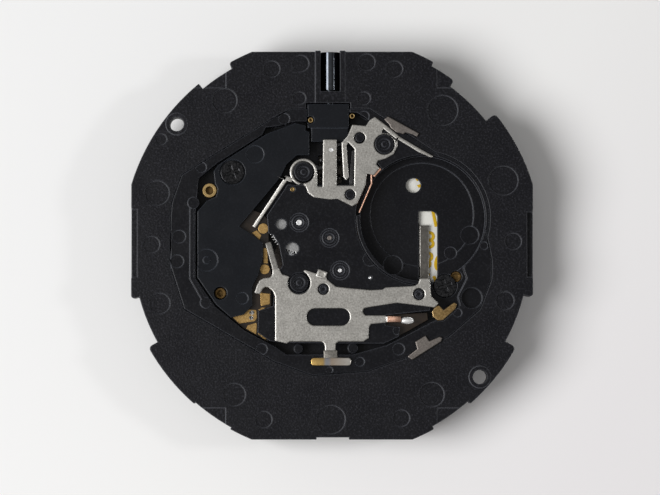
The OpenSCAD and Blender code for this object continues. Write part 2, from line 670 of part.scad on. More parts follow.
lower_points = [[-3.65, -2.8], [-3.15, -2.95], [-2.34, -3.47], [-1.7, -2.85], [-2.0, -2.6],
    [-1.9, -2.45], [-1.0, -2.75], [-0.85, -2.6], [-0.3, -2.7], [-0.2, -3.2], [0.5, -3.75],
    [1.5, -3.87], [3.2, -4.02], [4.1, -3.97], [4.3, -3.82], [6.2, -3.72], [6.6, -3.68],
    [6.85, -3.5], [6.95, -3.15], [7.75, -3.15], [7.85, -4.5], [8.42, -5.05], [8.1, -5.38],
    [6.5, -5.17], [5.2, -5.02], [3.0, -5.36], [2.65, -5.45], [2.55, -5.7], [2.75, -5.97],
    [4.36, -5.97], [4.36, -6.55], [3.2, -6.65], [3.05, -6.9], [3.02, -7.75], [2.6, -8.0],
    [0.7, -8.0], [0.5, -8.15], [0.48, -8.4], [0.42, -9.2], [1.45, -9.25], [1.55, -9.5],
    [1.35, -9.82], [-1.2, -9.82], [-1.4, -9.5], [-1.3, -9.25], [-0.36, -9.2], [-0.36, -8.4],
    [-0.42, -8.15], [-0.6, -8.0], [-3.05, -8.0], [-3.3, -8.15], [-4.2, -7.95], [-4.2, -4.5],
    [-4.35, -4.15], [-4.65, -3.85], [-4.95, -3.8], [-5.15, -3.95], [-5.35, -4.35], [-5.8, -4.25],
    [-5.6, -3.7], [-5.4, -3.3], [-5.1, -3.1], [-4.6, -3.05], [-4.42, -2.85], [-4.4, -2.5],
    [-3.9, -2.35]];

module lower_spring_plate() color([0.75, 0.73, 0.69]) {
    arm_x = [well_centre[0] - 0.24, well_centre[0] + 0.52];
    arm_y = well_centre[1] - well_r + 0.01;
    arm_z = flange_t + 0.12;
    slab(rim_z, plate_z) difference() {
        union() {
            polygon(lower_points);
            translate([arm_x[0], -3.8]) square([arm_x[1] - arm_x[0], arm_y + plate_t + 3.8]);
        }
        slot_x(-1.75, 1.57, -6.1, 1.32);
        translate(post_3) circle(r = big_post_r + 0.14);
        translate(bridge_posts[0]) circle(r = small_post_r + 0.07);
        translate(bridge_posts[1]) circle(r = small_post_r + 0.1);
    }
    sloped_bar([-4.13, -2.5], [-4.75, -0.35], rim_z, board_top + pad_t + 0.05, 0.48, plate_t);
    block(arm_x, [arm_y, arm_y + plate_t], [arm_z, plate_z]);
    block(arm_x, [arm_y, arm_y + 4.35], [arm_z, arm_z + 0.12]);
    sloped_bar([4.34, -6.26], [5.45, -6.26], rim_z, board_z + 0.13, 0.48, plate_t);
}

// Gold earth contact, let into the rim
earth_points = [[8.2, -5.25], [7.9, -5.65], [7.95, -6.05], [8.35, -6.38], [8.75, -6.35],
    [9.7, -5.5], [9.85, -5.1], [9.6, -4.97], [8.8, -5.55], [8.45, -5.2]];

module earth_contact() color([0.8, 0.66, 0.4]) {
    slab(rim_z - plate_t, rim_z) polygon(earth_points);
}

// Nickel hooks that lock the main plate to the ring: leg's place and turn
hook_legs = [[5.15, 8.6, -30], [7.0, -8.35, 30]];
hook_1_points = [[4.2, 9.15], [4.5, 9.4], [6.9, 8.08], [6.78, 7.78], [6.35, 8.0], [5.85, 8.12],
    [5.7, 7.98], [5.3, 8.12], [4.85, 8.2], [4.6, 8.75]];
hook_2_points = [[6.6, -8.0], [7.4, -7.52], [7.68, -7.95], [8.5, -7.6], [8.7, -7.72], [8.6, -8.0],
    [6.35, -9.42], [6.0, -9.15], [6.75, -8.55]];

module ring_hooks() color([0.75, 0.73, 0.69]) {
    slab(rim_z, rim_z + plate_t) {
        difference() {
            polygon(hook_1_points);
            polygon([[4.0, 8.78], [4.45, 8.73], [5.45, 7.88], [7.2, 6.8], [4.0, 7.3]]);
        }
        polygon(hook_2_points);
    }
    for (h = hook_legs) at(h) rotate([0, 0, h[2]])
        translate([-0.28, -0.09, rim_z - 0.75]) cube([0.56, 0.18, 0.75 + eps]);
}

// Screws, with a cross recess in the head
module cross_screw(p, head_r, head_z, head_h, shank_r, shank_z) {
    difference() {
        union() {
            rod_z(p, head_r, head_z, head_z + head_h);
            rod_z(p, shank_r, shank_z, head_z + eps);
        }
        at(p, head_z + head_h - 0.12) for (a = [20, 110]) rotate([0, 0, a])
            translate([-head_r * 0.6, -0.1, 0]) cube([head_r * 1.2, 0.2, 1]);
    }
}

module cover_screw() color([0.25, 0.24, 0.24]) {
    cross_screw(cover_screw_at, 0.9, cover_top - 0.15, 0.24, 0.4, deck_z);
}

module well_screw() color([0.3, 0.29, 0.29]) {
    cross_screw(well_screw_at, 0.88, well_screw_z, 0.22, 0.4, flange_t + 0.04);
}

module brass_bushes() color([0.78, 0.62, 0.35]) {
    for (b = bushes) difference() {
        rod_z(b, b[2], b[3], b[4]);
        rod_z(b, b[2] * 0.55, (b[3] + b[4]) / 2, far);
    }
}

module guide_pin() color([0.8, 0.8, 0.8]) {
    rod_z(guide_at, 0.11, bridge_z + 0.05, rim_z - 0.02);
}

// Electronics under the circuit cover
board_points = [[-4.7, 1.4], [-5.2, 1.9], [-7.0, 2.6], [-8.4, 2.6], [-8.4, -3.0], [-8.65, -5.25],
    [-6.55, -7.03], [-4.75, -8.0], [-4.7, -7.6], [-5.55, -7.05], [-5.55, -6.1], [-5.0, -6.05],
    [-4.6, -5.6], [-4.5, -5.1], [-4.5, -2.6], [-4.7, -2.0]];

module circuit_board() color([0.45, 0.33, 0.2]) {
    slab(board_z, board_top) difference() {
        polygon(board_points);
        translate([bushes[1][0], bushes[1][1]]) circle(r = bushes[1][2] + seat_gap);
    }
}

module contact_pads() color([0.84, 0.68, 0.4]) {
    slab(board_top, board_top + pad_t) {
        translate([-5.12, 0.75]) circle(r = 0.4);
        polygon([[-6.0, 0.42], [-5.62, 0.62], [-5.25, 0.22], [-5.42, -0.12]]);
        polygon([[-5.1, -0.75], [-4.8, -0.75], [-4.75, -1.95], [-5.1, -1.95]]);
        translate([-5.0, -2.4]) circle(r = 0.38);
        polygon([[-5.35, -4.2], [-4.6, -4.3], [-4.6, -5.1], [-5.3, -5.25]]);
        polygon([[-7.9, -5.7], [-7.15, -6.45], [-6.95, -6.6], [-5.75, -6.42], [-5.6, -6.15],
            [-5.65, -5.55], [-6.3, -5.5]]);
        polygon([[-6.45, -7.0], [-6.3, -6.72], [-5.65, -6.52], [-5.6, -6.65], [-5.65, -7.45]]);
        polygon([[-5.5, -5.85], [-5.45, -5.5], [-5.2, -5.35], [-4.9, -5.35], [-5.1, -5.5],
            [-5.35, -5.75]]);
        strip([-5.5, -7.3], [-4.98, -7.73], 0.2);
    }
}

module integrated_circuit() color([0.05, 0.05, 0.06]) {
    block([-8.0, -8.0 + chip_side], [-2.1, -2.1 + chip_side], [board_z - 0.35, board_z]);
}

module quartz_crystal() color([0.8, 0.8, 0.82]) {
    base = [-9.15, -2.2, stem_z];
    translate(base) rotate([-90, 0, 0]) cylinder(r = crystal_r, h = crystal_len);
    for (x = [-0.2, 0.2])
        translate(base + [x, -0.55, 0]) rotate([-90, 0, 0]) cylinder(r = 0.08, h = 0.6);
}

module stator() color([0.62, 0.62, 0.62]) {
    slab(stator_z, stator_z + stator_t) difference() {
        union() {
            polygon([[-4.25, -1.4], [-4.3, -7.0], [-3.45, -7.0], [-3.4, -2.6]]);
            translate(rotor_at) circle(r = 1.3);
            polygon([[-3.0, -2.3], [-1.9, -1.2], [-0.7, -2.5], [-0.7, -4.9], [4.15, -4.9],
                [4.15, -7.0], [3.4, -7.0], [3.4, -5.6], [-1.4, -5.6], [-1.4, -2.7]]);
        }
        translate(rotor_at) circle(r = magnet_r + 0.15);
        translate(post_3) circle(r = big_post_r + seat_gap);
        translate([bridge_feet[0][0], bridge_feet[0][1]]) circle(r = bridge_feet[0][2] + seat_gap);
    }
}

module coil_core() color([0.62, 0.62, 0.62]) {
    core_ends = [[-4.35, -3.65], [3.3, 4.2]];
    block([-3.7, 3.35], [-6.85, -6.25], [core_z, core_z + core_t]);
    for (e = core_ends) block(e, [-7.0, -6.1], [core_z, core_z + core_t]);
}

module coil_winding() color([0.6, 0.3, 0.15]) {
    difference() {
        translate([-3.35, -6.55, coil_z]) rotate([0, 90, 0]) cylinder(r = coil_r, h = coil_len);
        block([-far, far], [-6.85, -6.25], [core_z, core_z + core_t]);
    }
}

module coil_lead_board() color([0.4, 0.28, 0.2]) {
    slab(core_z + core_t, core_z + core_t + board_t)
        polygon([[3.3, -6.0], [7.55, -5.75], [7.6, -6.3], [5.3, -7.6], [3.3, -7.2]]);
}

// Gear train, each wheel turning on its own arbor
module wheel_disc(p, n, m, phase, z, hub_r, crossings = 5) {
    slab(z, z + disc_t) translate(p) difference() {
        gear_outline(n, m, phase);
        circle(r = hub_r);
        if (crossings > 0) for (i = [1:crossings])
            rotate(i * 360 / crossings) translate([n * m * 0.29, 0]) circle(r = n * m * 0.12);
    }
}

module rotor_magnet() color([0.35, 0.36, 0.38]) {
    difference() {
        rod_z(rotor_at, magnet_r, deck_z + 0.04, deck_z + 0.04 + magnet_h);
        rod_z(rotor_at, pivot_r, -1, far);
    }
}

module rotor_pinion() color([0.85, 0.85, 0.85]) {
    rod_z(rotor_at, pivot_r, deck_z - 0.13, bridge_z + 0.12);
    slab(fifth_level - pinion_over, fifth_level + disc_t + pinion_over) translate(rotor_at)
        gear_outline(rotor_n, fifth_m, meshed(aim(fifth_at, rotor_at), 0, fifth_n, rotor_n));
}

module fifth_wheel() color([0.8, 0.78, 0.72]) {
    wheel_disc(fifth_at, fifth_n, fifth_m, 0, fifth_level, pivot_r, crossings = 0);
}

module fifth_pinion() color([0.85, 0.85, 0.85]) {
    rod_z(fifth_at, pivot_r, deck_z - 0.13, rim_z - 0.04);
    slab(fourth_level - pinion_over, fourth_level + disc_t + pinion_over) translate(fifth_at)
        gear_outline(fifth_pinion_n, fourth_m,
            meshed(aim(centre_at, fifth_at), 0, fourth_n, fifth_pinion_n));
}

module fourth_wheel() color([0.8, 0.7, 0.45]) {
    wheel_disc(centre_at, fourth_n, fourth_m, 0, fourth_level, pivot_r);
}

module seconds_arbor() color([0.85, 0.85, 0.85]) {
    rod_z(centre_at, seconds_pin_r, -hour_reach - minute_reach - seconds_reach, 0);
    rod_z(centre_at, seconds_shaft_r, -hour_reach - minute_reach, centre_level + disc_t + 0.05);
    rod_z(centre_at, pivot_r, centre_level + disc_t + 0.04, rim_z - 0.04);
    slab(third_level - pinion_over, third_level + disc_t + pinion_over) translate(centre_at)
        gear_outline(fourth_pinion_n, third_m,
            meshed(aim(third_at, centre_at), 0, third_n, fourth_pinion_n));
}

module third_wheel() color([0.8, 0.7, 0.45]) {
    wheel_disc(third_at, third_n, third_m, 0, third_level, pivot_r);
}

module third_pinion() color([0.85, 0.85, 0.85]) {
    rod_z(third_at, pivot_r, deck_z - 0.13, rim_z - 0.04);
    slab(centre_level - pinion_over, centre_level + disc_t + pinion_over) translate(third_at)
        gear_outline(third_pinion_n, centre_m,
            meshed(aim(centre_at, third_at), 0, centre_n, third_pinion_n));
}

module centre_wheel() color([0.8, 0.7, 0.45]) {
    wheel_disc(centre_at, centre_n, centre_m, 0, centre_level, minute_shaft_r);
}

// Cannon pinion: pipe of the minute hand, with its teeth on the dial side
module cannon_pinion() color([0.85, 0.85, 0.85]) {
    difference() {
        union() {
            rod_z(centre_at, minute_seat_r, -hour_reach - minute_reach, 0);
            rod_z(centre_at, minute_barrel_r, -hour_reach, minute_level - 0.03);
            rod_z(centre_at, minute_shaft_r, 0, centre_level + disc_t);
            slab(minute_level, minute_level + motion_t)
                gear_outline(cannon_n, minute_m, aim(centre_at, minute_at));
        }
        rod_z(centre_at, seconds_shaft_r + 0.04, -far, far);
    }
}

module minute_wheel() color([0.85, 0.85, 0.85]) {
    phase = meshed(aim(centre_at, minute_at), aim(centre_at, minute_at), cannon_n, minute_n);
    slab(minute_level, minute_level + motion_t) translate(minute_at)
        gear_outline(minute_n, minute_m, phase);
    slab(hour_level - 0.01, minute_level + eps) translate(minute_at)
        gear_outline(minute_pinion_n, hour_m, aim(minute_at, centre_at));
    rod_z(minute_at, pivot_r, calendar_z, pocket_z + 0.13);
}

hour_phase = meshed(aim(minute_at, centre_at), aim(minute_at, centre_at), minute_pinion_n, hour_n);

module hour_wheel() color([0.8, 0.7, 0.45]) {
    difference() {
        union() {
            slab(hour_level, hour_level + motion_t) gear_outline(hour_n, hour_m, hour_phase);
            rod_z(centre_at, hour_pipe_r, -hour_reach, hour_level);
            rod_z(centre_at, hour_hub_r, 0, hour_level + motion_t);
        }
        rod_z(centre_at, minute_barrel_r + run_gap, -far, far);
    }
}

module setting_wheel() color([0.85, 0.85, 0.85]) {
    minute_phase = meshed(aim(centre_at, minute_at), aim(centre_at, minute_at), cannon_n, minute_n);
    slab(minute_level, minute_level + motion_t) translate(setting_at)
        gear_outline(setting_n, minute_m,
            meshed(aim(minute_at, setting_at), minute_phase, minute_n, setting_n));
    rod_z(setting_at, pivot_r, calendar_z, pocket_z + 0.13);
}

step_pinion_phase = aim(step_at, drive_at);

module intermediate_date_wheel() color([0.85, 0.85, 0.85]) {
    slab(hour_level, hour_level + motion_t) translate(step_at)
        gear_outline(step_n, hour_m, meshed(aim(centre_at, step_at), hour_phase, hour_n, step_n));
    slab(hour_level + motion_t - eps, minute_level + motion_t) translate(step_at)
        gear_outline(step_pinion_n, drive_m, step_pinion_phase);
    rod_z(step_at, pivot_r, finger_z + finger_t + 0.01, pocket_z + 0.13);
}

module date_driving_wheel() color([0.9, 0.9, 0.88]) {
    slab(minute_level, minute_level + motion_t) translate(drive_at)
        gear_outline(drive_n, drive_m,
            meshed(aim(step_at, drive_at), step_pinion_phase, step_pinion_n, drive_n));
    rod_z(drive_at, pivot_r, finger_z + finger_t, minute_level + eps);
    rod_z(drive_at, pivot_r, calendar_z, pocket_z + 0.13);
}

// Date finger: at rest it points away from the disc's teeth
module date_finger() color([0.85, 0.85, 0.85]) {
    dir = aim(drive_at, centre_at) + 35;
    slab(finger_z, finger_z + finger_t) translate(drive_at) difference() {
        union() {
            circle(r = 0.5);
            rotate(dir) polygon([[0, -0.35], [finger_len - 0.1, -0.12], [finger_len, 0.05],
                [finger_len - 0.25, 0.14], [0, 0.35]]);
        }
        circle(r = pivot_r);
    }
}

// Date disc with inner teeth
module date_disc() color([0.93, 0.93, 0.9]) {
    pitch = 360 / date_teeth;
    slab(date_z, date_z + date_t) difference() {
        circle(r = date_r);
        polygon([for (i = [0:date_teeth - 1], c = [[date_tip_r, -0.1], [date_tip_r, 0.1],
            [date_root_r, 0.3], [date_root_r, 0.7]])
            c[0] * [cos(jumper_dir + (i + c[1] + 0.5) * pitch),
                sin(jumper_dir + (i + c[1] + 0.5) * pitch)]]);
    }
}

// Date jumper: a spring whose nose lies between two teeth
module date_jumper() color([0.8, 0.8, 0.8]) {
    nose = (date_tip_r + 0.12) * [cos(jumper_dir), sin(jumper_dir)];
    elbow = (date_tip_r - 0.45) * [cos(jumper_dir), sin(jumper_dir)];
    across = 0.28 * [-sin(jumper_dir), cos(jumper_dir)];
    slab(date_z + 0.01, date_z + date_t - 0.02) {
        translate(jumper_root) circle(r = 0.6);
        strip(jumper_root, elbow, 0.28);
        polygon([elbow - across, nose, elbow + across]);
    }
    rod_z(jumper_root, 0.3, date_z + 0.02, flange_t + 0.28);
}

module calendar_cover() color([0.72, 0.72, 0.7]) {
    slab(calendar_z, calendar_z + calendar_t) difference() {
        circle(r = calendar_r);
        circle(r = hour_hub_r + 0.1);
        for (p = [minute_at, setting_at, drive_at]) translate(p) circle(r = pivot_r + run_gap);
        for (p = date_screws) translate(p) circle(r = 0.22);
    }
}

module calendar_screws() color([0.7, 0.7, 0.7]) {
    for (p = date_screws) {
        rod_z(p, 0.45, 0, calendar_z);
        rod_z(p, 0.2, calendar_z - eps, flange_t + 0.22);
    }
}

// Keyless works
module along_stem(y) {
    translate([stem_x, y, stem_z]) rotate([-90, 0, 0]) children();
}

module clutch_wheel() color([0.8, 0.8, 0.8]) {
    side = square_side + 2 * run_gap;
    difference() {
        union() {
            along_stem(clutch_y[0]) cylinder(r = clutch_r, h = clutch_groove_y[0] - clutch_y[0]);
            along_stem(clutch_groove_y[0] - eps)
                cylinder(r = clutch_groove_r + 0.03, h = clutch_groove_y[1] - clutch_groove_y[0] + 2 * eps);
            along_stem(clutch_groove_y[1]) cylinder(r = clutch_r, h = 0.27);
            along_stem(clutch_y[1] - 0.2 - eps) linear_extrude(0.2 + eps)
                gear_outline(16, clutch_r / 9, 0);
            along_stem(clutch_y[0] - 0.15) linear_extrude(0.15 + eps)
                gear_outline(16, clutch_r / 9, 0);
        }
        along_stem(0) translate([-side / 2, -side / 2, 0]) cube([side, side, 20]);
    }
}

module stem() color([0.85, 0.85, 0.85]) {
    difference() {
        union() {
            rod_y(rod_r, rod_from, stem_end);
            rod_y(stem_r, groove_y + groove_w / 2, rod_from + eps);
            rod_y(groove_r, groove_y - groove_w / 2 - eps, groove_y + groove_w / 2 + eps);
            rod_y(stem_r, square_to, groove_y - groove_w / 2);
            along_stem(square_from) translate([-square_side / 2, -square_side / 2, 0])
                cube([square_side, square_side, square_to - square_from + eps]);
            rod_y(pilot_r, pilot_from, square_from + eps);
        }
        rod_y(tap_r, stem_end - tap_depth, stem_end + 1);
    }
}

// Setting lever: its tip runs in the stem's groove
module setting_lever() color([0.75, 0.75, 0.75]) {
    slab(lever_z, lever_z + lever_t) translate(lever_pin) difference() {
        union() {
            circle(r = 0.65);
            rotate(180 + lever_angle) {
                polygon([[0, -0.4], [lever_len - 0.6, -lever_tip_r], [lever_len, -lever_tip_r],
                    [lever_len, lever_tip_r], [lever_len - 0.6, lever_tip_r], [0, 0.4]]);
                translate([lever_len, 0]) circle(r = lever_tip_r);
            }
            strip([0, 0], [0.15, -1.1], 0.3);
        }
        circle(r = small_post_r + run_gap);
    }
    rod_z(lever_pin + [0.15, -1.1], 0.15, lever_z, lever_z + 0.38);
}

// Yoke: its tip lies in the clutch wheel's groove
module yoke() color([0.75, 0.75, 0.75]) {
    tip = [-0.6, 5.5];
    slab(lever_z, lever_z + lever_t) difference() {
        union() {
            translate(post_1) circle(r = big_post_r + 0.35);
            strip(post_1, tip, 0.24);
            polygon([post_1 + [0.2, -0.9], tip + [-0.25, -0.12], tip + [-0.25, 0.12],
                post_1 + [0.2, 0.9]]);
        }
        translate(post_1) circle(r = big_post_r + run_gap);
    }
}

// Reset lever: stops the fourth wheel while the hands are set
module reset_lever() color([0.75, 0.75, 0.75]) {
    slab(fourth_level - 0.04, fourth_level + disc_t + 0.04) difference() {
        union() {
            translate(reset_pin) circle(r = 0.6);
            strip(reset_pin, [0.42, 2.34], 0.26);
            strip(reset_pin, [1.86, 6.7], 0.28);
        }
        translate(reset_pin) circle(r = 0.3 + run_gap);
    }
}

casing_ring();
main_plate();
train_bridge();
circuit_cover();
stem_block();
upper_spring_plate();
lower_spring_plate();
side_contact();
earth_contact();
ring_hooks();
cover_screw();
well_screw();
brass_bushes();
guide_pin();
circuit_board();
contact_pads();
integrated_circuit();
quartz_crystal();
stator();
coil_core();
coil_winding();
coil_lead_board();
rotor_magnet();
rotor_pinion();
fifth_wheel();
fifth_pinion();
fourth_wheel();
seconds_arbor();
third_wheel();
third_pinion();
centre_wheel();
cannon_pinion();
minute_wheel();
hour_wheel();
setting_wheel();
intermediate_date_wheel();
date_driving_wheel();
date_finger();
date_disc();
date_jumper();
calendar_cover();
calendar_screws();
clutch_wheel();
stem();
setting_lever();
yoke();
reset_lever();
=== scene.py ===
# %% [markdown]
# # A quartz watch movement, dressed in Blender
# The solids of the movement come ready made from the construction model. This lesson gives
# them their finishes, adds the small things that are drawn or soldered on, and lights them.
# Every length that Blender gets is in metres, and one millimetre is written mm. The helpers that
# place the small pieces are given millimetres.

# %% Load the frame
import json
import math
import bmesh
import bpy
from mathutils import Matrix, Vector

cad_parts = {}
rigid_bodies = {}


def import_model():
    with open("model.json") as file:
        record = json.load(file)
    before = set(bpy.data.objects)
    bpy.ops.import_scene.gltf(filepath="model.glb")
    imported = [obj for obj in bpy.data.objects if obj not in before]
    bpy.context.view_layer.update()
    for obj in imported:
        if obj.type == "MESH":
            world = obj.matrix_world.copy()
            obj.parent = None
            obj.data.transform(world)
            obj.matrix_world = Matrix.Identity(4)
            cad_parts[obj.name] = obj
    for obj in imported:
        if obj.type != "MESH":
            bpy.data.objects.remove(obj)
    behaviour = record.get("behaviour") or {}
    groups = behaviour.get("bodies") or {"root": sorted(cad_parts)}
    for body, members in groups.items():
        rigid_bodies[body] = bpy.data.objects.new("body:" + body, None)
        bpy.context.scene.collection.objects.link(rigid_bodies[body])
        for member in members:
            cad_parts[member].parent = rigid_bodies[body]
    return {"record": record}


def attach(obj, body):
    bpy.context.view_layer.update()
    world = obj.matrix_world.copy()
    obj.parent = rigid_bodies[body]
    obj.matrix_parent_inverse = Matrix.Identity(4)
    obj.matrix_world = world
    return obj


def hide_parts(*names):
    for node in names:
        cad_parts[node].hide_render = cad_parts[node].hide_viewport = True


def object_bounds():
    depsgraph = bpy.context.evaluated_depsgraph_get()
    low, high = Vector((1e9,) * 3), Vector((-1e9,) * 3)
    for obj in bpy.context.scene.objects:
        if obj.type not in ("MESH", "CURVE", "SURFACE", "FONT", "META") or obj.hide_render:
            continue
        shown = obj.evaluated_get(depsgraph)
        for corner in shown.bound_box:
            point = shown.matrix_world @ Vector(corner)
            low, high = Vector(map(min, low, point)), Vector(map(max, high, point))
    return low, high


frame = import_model()
cad_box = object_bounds()
mm = 0.001
record = frame["record"]
body_of = {node: body for body, nodes in record["behaviour"]["bodies"].items() for node in nodes}
print("CAD box", cad_box)


# %% [markdown]
# ## Materials: a new finish and its noise
# Real finishes are never one flat colour. Moulded plastic has grain and pale flecks, and plated
# springs are speckled. One recipe serves them all: a noise varies the colour, a second one the
# gloss, and a finer one lifts the surface as a bump. What is the same all over goes straight on
# the shader's own sockets.

# %% New finish and noise
def shader_of(finish):
    return finish.node_tree.nodes["Principled BSDF"]


def new_finish(name, metallic, roughness, specular=0.5):
    finish = bpy.data.materials.new(name)
    finish.use_nodes = True
    inputs = shader_of(finish).inputs
    inputs["Metallic"].default_value = metallic
    inputs["Roughness"].default_value = roughness
    inputs["Specular IOR Level"].default_value = specular
    return finish


def stretched_place(finish, stretch):
    nodes, links = finish.node_tree.nodes, finish.node_tree.links
    coords = nodes.new("ShaderNodeTexCoord")
    mapping = nodes.new("ShaderNodeMapping")
    mapping.inputs["Scale"].default_value = stretch
    links.new(coords.outputs["Object"], mapping.inputs["Vector"])
    return mapping.outputs["Vector"]


def noise(finish, scale, detail, stretch=(1, 1, 1)):
    nodes, links = finish.node_tree.nodes, finish.node_tree.links
    texture = nodes.new("ShaderNodeTexNoise")
    texture.inputs["Scale"].default_value = scale
    texture.inputs["Detail"].default_value = detail
    links.new(stretched_place(finish, stretch), texture.inputs["Vector"])
    return texture.outputs["Fac"]


# %% [markdown]
# ## Materials: from a number to a colour
# A noise gives a number from 0 to 1 at each point, and so does the place along a direction. A
# range node spreads the part of it that is wanted, and a colour ramp turns it into a colour,
# which is then painted on the shader.

# %% Places, ramps and paint
def spread(finish, factor, low, high, start, end):
    nodes, links = finish.node_tree.nodes, finish.node_tree.links
    node = nodes.new("ShaderNodeMapRange")
    for socket, value in (("From Min", low), ("From Max", high), ("To Min", start), ("To Max", end)):
        node.inputs[socket].default_value = value
    links.new(factor, node.inputs["Value"])
    return node.outputs["Result"]


def place_along(finish, direction, start, end):
    nodes, links = finish.node_tree.nodes, finish.node_tree.links
    coords = nodes.new("ShaderNodeTexCoord")
    dot = nodes.new("ShaderNodeVectorMath")
    dot.operation = "DOT_PRODUCT"
    dot.inputs[1].default_value = direction
    links.new(coords.outputs["Object"], dot.inputs[0])
    return spread(finish, dot.outputs["Value"], start, end, 0, 1)


def ramp(finish, factor, stops):
    nodes, links = finish.node_tree.nodes, finish.node_tree.links
    node = nodes.new("ShaderNodeValToRGB")
    elements = node.color_ramp.elements
    while len(elements) < len(stops):
        elements.new(0.5)
    for element, (place, colour) in zip(elements, stops):
        element.position = place
        element.color = (*colour, 1)
    links.new(factor, node.inputs["Fac"])
    return node.outputs["Color"]


def paint(finish, colour):
    finish.node_tree.links.new(colour, shader_of(finish).inputs["Base Color"])


def painted(finish):
    return shader_of(finish).inputs["Base Color"].links[0].from_socket


def tint(finish, factor, dark, light, low=0.35, high=0.65):
    paint(finish, ramp(finish, factor, [(low, dark), (high, light)]))


# %% [markdown]
# ## Materials: edges, relief and gloss
# A bevel node gives the normal that a rounded edge would have, which softens the shading at the
# edges. Where it turns away from the face's true normal an edge is near, and there the same node
# can lighten the colour as a painted highlight. The bump lies on top of it.

# %% Edges, relief and gloss
def soft_corner(finish, radius):
    nodes = finish.node_tree.nodes
    corner = nodes.get("soft corner") or nodes.new("ShaderNodeBevel")
    corner.name = "soft corner"
    corner.samples = 6
    corner.inputs["Radius"].default_value = radius
    return corner.outputs["Normal"]


def near_edge(finish, radius, flat=0.995, rounded=0.86):
    nodes, links = finish.node_tree.nodes, finish.node_tree.links
    dot = nodes.new("ShaderNodeVectorMath")
    dot.operation = "DOT_PRODUCT"
    links.new(soft_corner(finish, radius), dot.inputs[0])
    links.new(nodes.new("ShaderNodeNewGeometry").outputs["True Normal"], dot.inputs[1])
    return spread(finish, dot.outputs["Value"], flat, rounded, 0, 1)


# Painted highlight: where an edge is near, the colour is mixed towards the given pale colour.
def lighter_edges(finish, radius, colour):
    nodes, links = finish.node_tree.nodes, finish.node_tree.links
    mix = nodes.new("ShaderNodeMixRGB")
    links.new(near_edge(finish, radius), mix.inputs["Fac"])
    links.new(painted(finish), mix.inputs["Color1"])
    mix.inputs["Color2"].default_value = (*colour, 1)
    paint(finish, mix.outputs["Color"])


def relief(finish, factor, depth, corner=0.05 * mm):
    nodes, links = finish.node_tree.nodes, finish.node_tree.links
    bump = nodes.new("ShaderNodeBump")
    bump.inputs["Distance"].default_value = depth
    links.new(factor, bump.inputs["Height"])
    links.new(soft_corner(finish, corner), bump.inputs["Normal"])
    links.new(bump.outputs["Normal"], shader_of(finish).inputs["Normal"])


def uneven_gloss(finish, factor, low, high):
    roughness = spread(finish, factor, 0.3, 0.7, low, high)
    finish.node_tree.links.new(roughness, shader_of(finish).inputs["Roughness"])


# %% [markdown]
# ## Plastics
# The casing ring is moulded in a spark-eroded tool, so it has a matt grain with pale flecks. The
# main plate is finer, and the circuit cover is nearly smooth and bluish. All are so black that
# most of what is seen is the lamps' reflection, so the shader's specular level matters more than
# its colour.

# %% Plastic finishes
fleck_scale = 7000
smear_scale = 500
moulded_edge = 0.09 * mm


def plastic(name, dark, light, roughness, specular, grain, depth, edge_highlight=None):
    finish = new_finish(name, 0.0, roughness, specular)
    tint(finish, noise(finish, fleck_scale, 3), dark, light, 0.5, 0.8)
    uneven_gloss(finish, noise(finish, smear_scale, 4), roughness - 0.06, roughness + 0.08)
    relief(finish, noise(finish, grain, 4), depth, moulded_edge)
    # Painted highlight: the moulding's edges are lightened to the given pale colour.
    if edge_highlight:
        lighter_edges(finish, moulded_edge, edge_highlight)
    return finish


# The last colour given to a plastic is the painted highlight on its edges.
finishes = {}
finishes["ring_plastic"] = plastic("ring plastic", (0.003, 0.0031, 0.005), (0.027, 0.027, 0.034),
                                   0.4, 0.2, 6500, 0.02 * mm, (0.12, 0.124, 0.14))
finishes["plate_plastic"] = plastic("plate plastic", (0.0024, 0.0025, 0.0042),
                                    (0.013, 0.0135, 0.017), 0.33, 0.2, 4800, 0.01 * mm,
                                    (0.105, 0.11, 0.128))
finishes["cover_plastic"] = plastic("cover plastic", (0.0045, 0.0055, 0.008),
                                    (0.009, 0.0105, 0.0145), 0.28, 0.22, 2600, 0.004 * mm,
                                    (0.075, 0.083, 0.1))
finishes["chip"] = plastic("moulding compound", (0.008, 0.008, 0.009), (0.014, 0.014, 0.015),
                           0.55, 0.3, 4000, 0.01 * mm)
finishes["white_gear"] = plastic("white gear plastic", (0.72, 0.71, 0.67), (0.8, 0.79, 0.75),
                                 0.35, 0.4, 2500, 0.005 * mm)
finishes["white_print"] = plastic("white lacquer", (0.74, 0.73, 0.68), (0.8, 0.79, 0.75),
                                  0.4, 0.4, 1500, 0.003 * mm)
print("plastics", len(finishes))


# %% [markdown]
# ## Metals
# The spring plates are stamped from nickel-plated strip. Their face is speckled with grains about
# a tenth of a millimetre wide, some lighter and some darker. Deep down in the well and in the
# holes, shade is painted into nickel and brass: a ramp along the height darkens their colour
# there. Gold and brass are warmer and duller, and polished steel has fine lines along the stem, so
# its noise is stretched that way.

# %% Metal finishes
speckle_scale = 7500
sheen_scale = 1500


def metal(name, dark, light, low, high, grain=3000, depth=0.004 * mm, stretch=(1, 1, 1),
          speckle=speckle_scale):
    finish = new_finish(name, 1.0, (low + high) / 2)
    tint(finish, noise(finish, speckle, 2), dark, light, 0.3, 0.7)
    uneven_gloss(finish, noise(finish, sheen_scale, 4), low, high)
    relief(finish, noise(finish, grain, 3, stretch), depth)
    return finish


# Painted shade: the colour is multiplied by a ramp that darkens it towards the bottom.
def darker_below(finish, bottom, top, stops):
    nodes, links = finish.node_tree.nodes, finish.node_tree.links
    sunk = ramp(finish, place_along(finish, (0, 0, 1), bottom, top), stops)
    dimmed = nodes.new("ShaderNodeVectorMath")
    dimmed.operation = "MULTIPLY"
    links.new(painted(finish), dimmed.inputs[0])
    links.new(sunk, dimmed.inputs[1])
    paint(finish, dimmed.outputs["Vector"])


